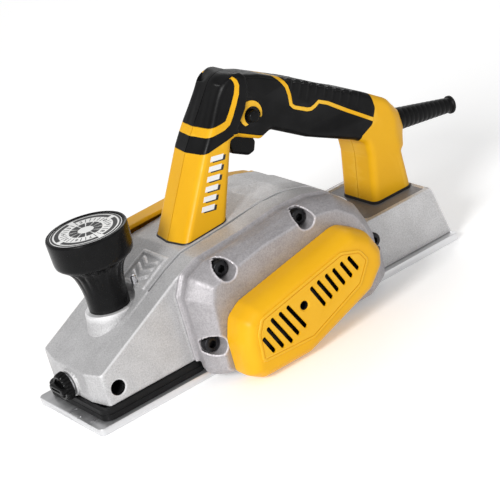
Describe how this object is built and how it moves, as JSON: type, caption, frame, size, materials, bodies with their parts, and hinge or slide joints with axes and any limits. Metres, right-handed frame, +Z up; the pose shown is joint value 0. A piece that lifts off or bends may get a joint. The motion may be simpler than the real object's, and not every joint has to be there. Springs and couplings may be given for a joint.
{
  "type": "electric hand planer",
  "caption": "Portable electric planer with a cast body, D-shaped handle, belt-driven cutter drum, sliding front shoe and a depth knob with a dial.",
  "frame": {"origin": "under the middle of the machine's box, on the surface that its sole rests on", "axes": "+X points from the front shoe to the rear and the cord guard, +Z is up, -Y is the belt side and +Y the motor side"},
  "size_m": [0.3428, 0.152, 0.1685],
  "materials": {
    "cast_aluminium": "sand-cast, fine grain, satin",
    "machined_aluminium": "machined, light tool marks",
    "yellow_plastic": "moulded, fine texture",
    "black_plastic": "moulded, semi-matte",
    "black_rubber": "soft moulded rubber",
    "steel": "ground",
    "blackened_steel": "black oxide",
    "white_label": "printed foil",
    "copper": "turned copper",
    "laminations": "varnished sheet stack",
    "brass": "drawn brass"
  },
  "bodies": {
    "frame": {"main_frame": "cast_aluminium", "belt_housing": "cast_aluminium", "drum_bearing_plate": "cast_aluminium", "rear_base": "machined_aluminium", "belt_cover": "yellow_plastic", "motor_cover": "yellow_plastic", "handle_shell_left": "yellow_plastic", "handle_shell_right": "yellow_plastic", "chip_nozzle": "black_plastic", "switch_body": "black_plastic", "cord_clamp": "black_plastic", "front_base_seal": "black_rubber", "grip_overmould_left": "black_rubber", "grip_overmould_right": "black_rubber", "cord_guard": "black_rubber", "drive_belt": "black_rubber", "depth_spring": "steel", "index_pin": "steel", "rear_base_screw_1": "steel", "rear_base_screw_2": "steel", "drum_bearing_near": "steel", "drum_bearing_far": "steel", "motor_bearing_near": "steel", "motor_bearing_far": "steel", "bearing_plate_screw_1": "steel", "bearing_plate_screw_2": "steel", "belt_housing_bolt_1": "blackened_steel", "belt_housing_bolt_2": "blackened_steel", "belt_housing_bolt_3": "blackened_steel", "belt_housing_bolt_4": "blackened_steel", "belt_cover_screw": "blackened_steel", "motor_cover_screw_1": "blackened_steel", "motor_cover_screw_2": "blackened_steel", "motor_cover_screw_3": "blackened_steel", "handle_screw_1": "blackened_steel", "handle_screw_2": "blackened_steel", "handle_screw_3": "blackened_steel", "handle_screw_4": "blackened_steel", "stator": "laminations", "brush_holder_1": "brass", "brush_holder_2": "brass"},
    "motor_rotor": {"motor_shaft": "steel", "armature_core": "laminations", "commutator": "copper", "fan": "black_plastic", "motor_pulley": "machined_aluminium"},
    "cutter": {"cutter_drum": "steel", "blade_1": "steel", "blade_2": "steel", "blade_clamp_1": "blackened_steel", "blade_clamp_2": "blackened_steel", "drum_pulley": "machined_aluminium"},
    "front_shoe": {"front_base": "machined_aluminium"},
    "depth_control": {"depth_knob": "black_plastic", "depth_dial": "white_label", "depth_spindle": "steel"},
    "clamp_carrier": {"fence_clamp_washer": "steel"},
    "clamp_screw": {"fence_clamp_screw": "black_plastic"},
    "trigger": {"trigger": "black_plastic"},
    "lock_button": {"lock_button": "black_plastic"}
  },
  "joints": [
    {"name": "drum_spin", "type": "hinge", "parent": "frame", "child": "cutter", "pos_m": [-0.0554, 0.009, 0.0235], "axis": [0, 1, 0], "continuous": true},
    {"name": "motor_spin", "type": "hinge", "parent": "frame", "child": "motor_rotor", "pos_m": [-0.0004, 0.009, 0.046], "axis": [0, 1, 0], "continuous": true},
    {"name": "depth_knob_turn", "type": "hinge", "parent": "frame", "child": "depth_control", "pos_m": [-0.1188, 0.009, 0.0578], "axis": [0, 0, -1], "range_deg": [0, 361]},
    {"name": "front_base_slide", "type": "slide", "parent": "frame", "child": "front_shoe", "axis": [0, 0, 1], "range_m": [0, 0.002], "deforming": ["front_base_seal", "depth_spring"]},
    {"name": "clamp_slide", "type": "slide", "parent": "frame", "child": "clamp_carrier", "axis": [-1, 0, 0], "range_m": [0, 0.002]},
    {"name": "clamp_turn", "type": "hinge", "parent": "clamp_carrier", "child": "clamp_screw", "pos_m": [-0.1613, 0.009, 0.023], "axis": [-1, 0, 0], "range_deg": [0, 722]},
    {"name": "trigger_pull", "type": "hinge", "parent": "frame", "child": "trigger", "pos_m": [-0.0106, 0.009, 0.1315], "axis": [0, -1, 0], "range_deg": [0, 10], "stiffness_Nm_per_rad": 0.5, "springref_deg": -5.73},
    {"name": "lock_button_press", "type": "slide", "parent": "frame", "child": "lock_button", "axis": [0, 1, 0], "range_m": [0, 0.003], "stiffness_N_per_m": 600, "springref_m": -0.001}
  ],
  "couplings": [
    {"joint": "motor_spin", "follows": "drum_spin", "ratio": 1.625},
    {"joint": "depth_knob_turn", "follows": "front_base_slide", "rad_per_m": 3141.6},
    {"joint": "clamp_turn", "follows": "clamp_slide", "rad_per_m": 6283.2}
  ]
}
